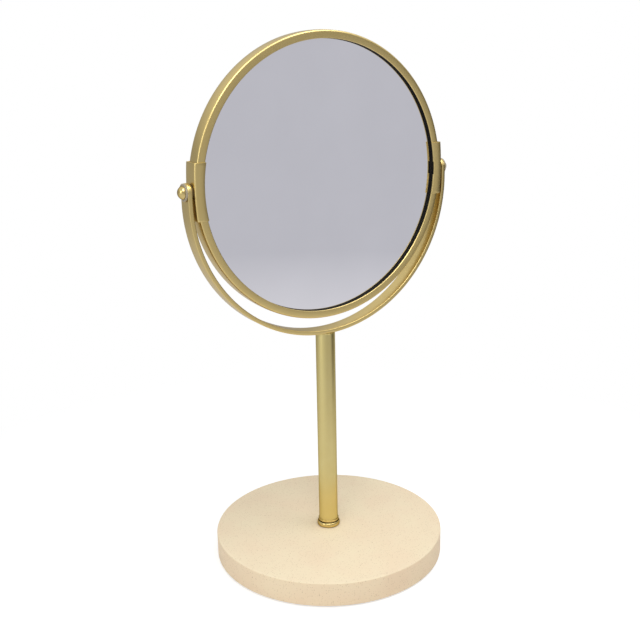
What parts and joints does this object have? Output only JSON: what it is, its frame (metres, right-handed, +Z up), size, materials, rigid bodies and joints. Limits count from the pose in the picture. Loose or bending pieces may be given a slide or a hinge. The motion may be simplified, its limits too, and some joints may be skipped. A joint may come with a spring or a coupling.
{
  "type": "table vanity mirror",
  "caption": "Round double-sided table mirror that tilts in a half-circle yoke on a slim column and a heavy round disc base.",
  "frame": {"origin": "centre of the underside, on the surface the mirror stands on", "axes": "+X along the hinge to the mirror's right-hand pivot as seen from behind, the flat mirror looks along -Y and the magnifying one along +Y, +Z up"},
  "size_m": [0.1902, 0.15, 0.3357],
  "materials": {
    "cast_base": "matt cream cast stone with fine brown specks",
    "pad": "matt closed-cell foam",
    "steel": "zinc-plated steel",
    "satin_gold": "satin champagne-gold coating on steel",
    "polished_gold": "polished gold plating",
    "washer_grey": "warm grey nylon",
    "mirror_glass": "silvered glass",
    "spacer_board": "grey board",
    "gasket": "matt black"
  },
  "bodies": {
    "stand": {"base_disc": "cast_base", "base_pad": "pad", "base_bolt": "steel", "base_washer": "steel", "column_collar": "polished_gold", "column_tube": "satin_gold", "lower_insert": "steel", "upper_insert": "steel", "yoke_stud": "steel", "yoke_band": "satin_gold"},
    "mirror_head": {"frame_ring_upper": "satin_gold", "frame_ring_lower": "satin_gold", "left_clip": "satin_gold", "right_clip": "satin_gold", "left_clip_nut": "steel", "right_clip_nut": "steel", "left_pivot_screw": "polished_gold", "right_pivot_screw": "polished_gold", "left_outer_washer": "washer_grey", "right_outer_washer": "washer_grey", "left_friction_washer": "washer_grey", "right_friction_washer": "washer_grey", "front_glass": "mirror_glass", "back_glass": "mirror_glass", "glass_spacer": "spacer_board", "front_gasket": "gasket", "back_gasket": "gasket"}
  },
  "joints": [
    {"name": "mirror_tilt", "type": "hinge", "parent": "stand", "child": "mirror_head", "pos_m": [0, 0, 0.24925], "axis": [1, 0, 0], "continuous": true}
  ]
}
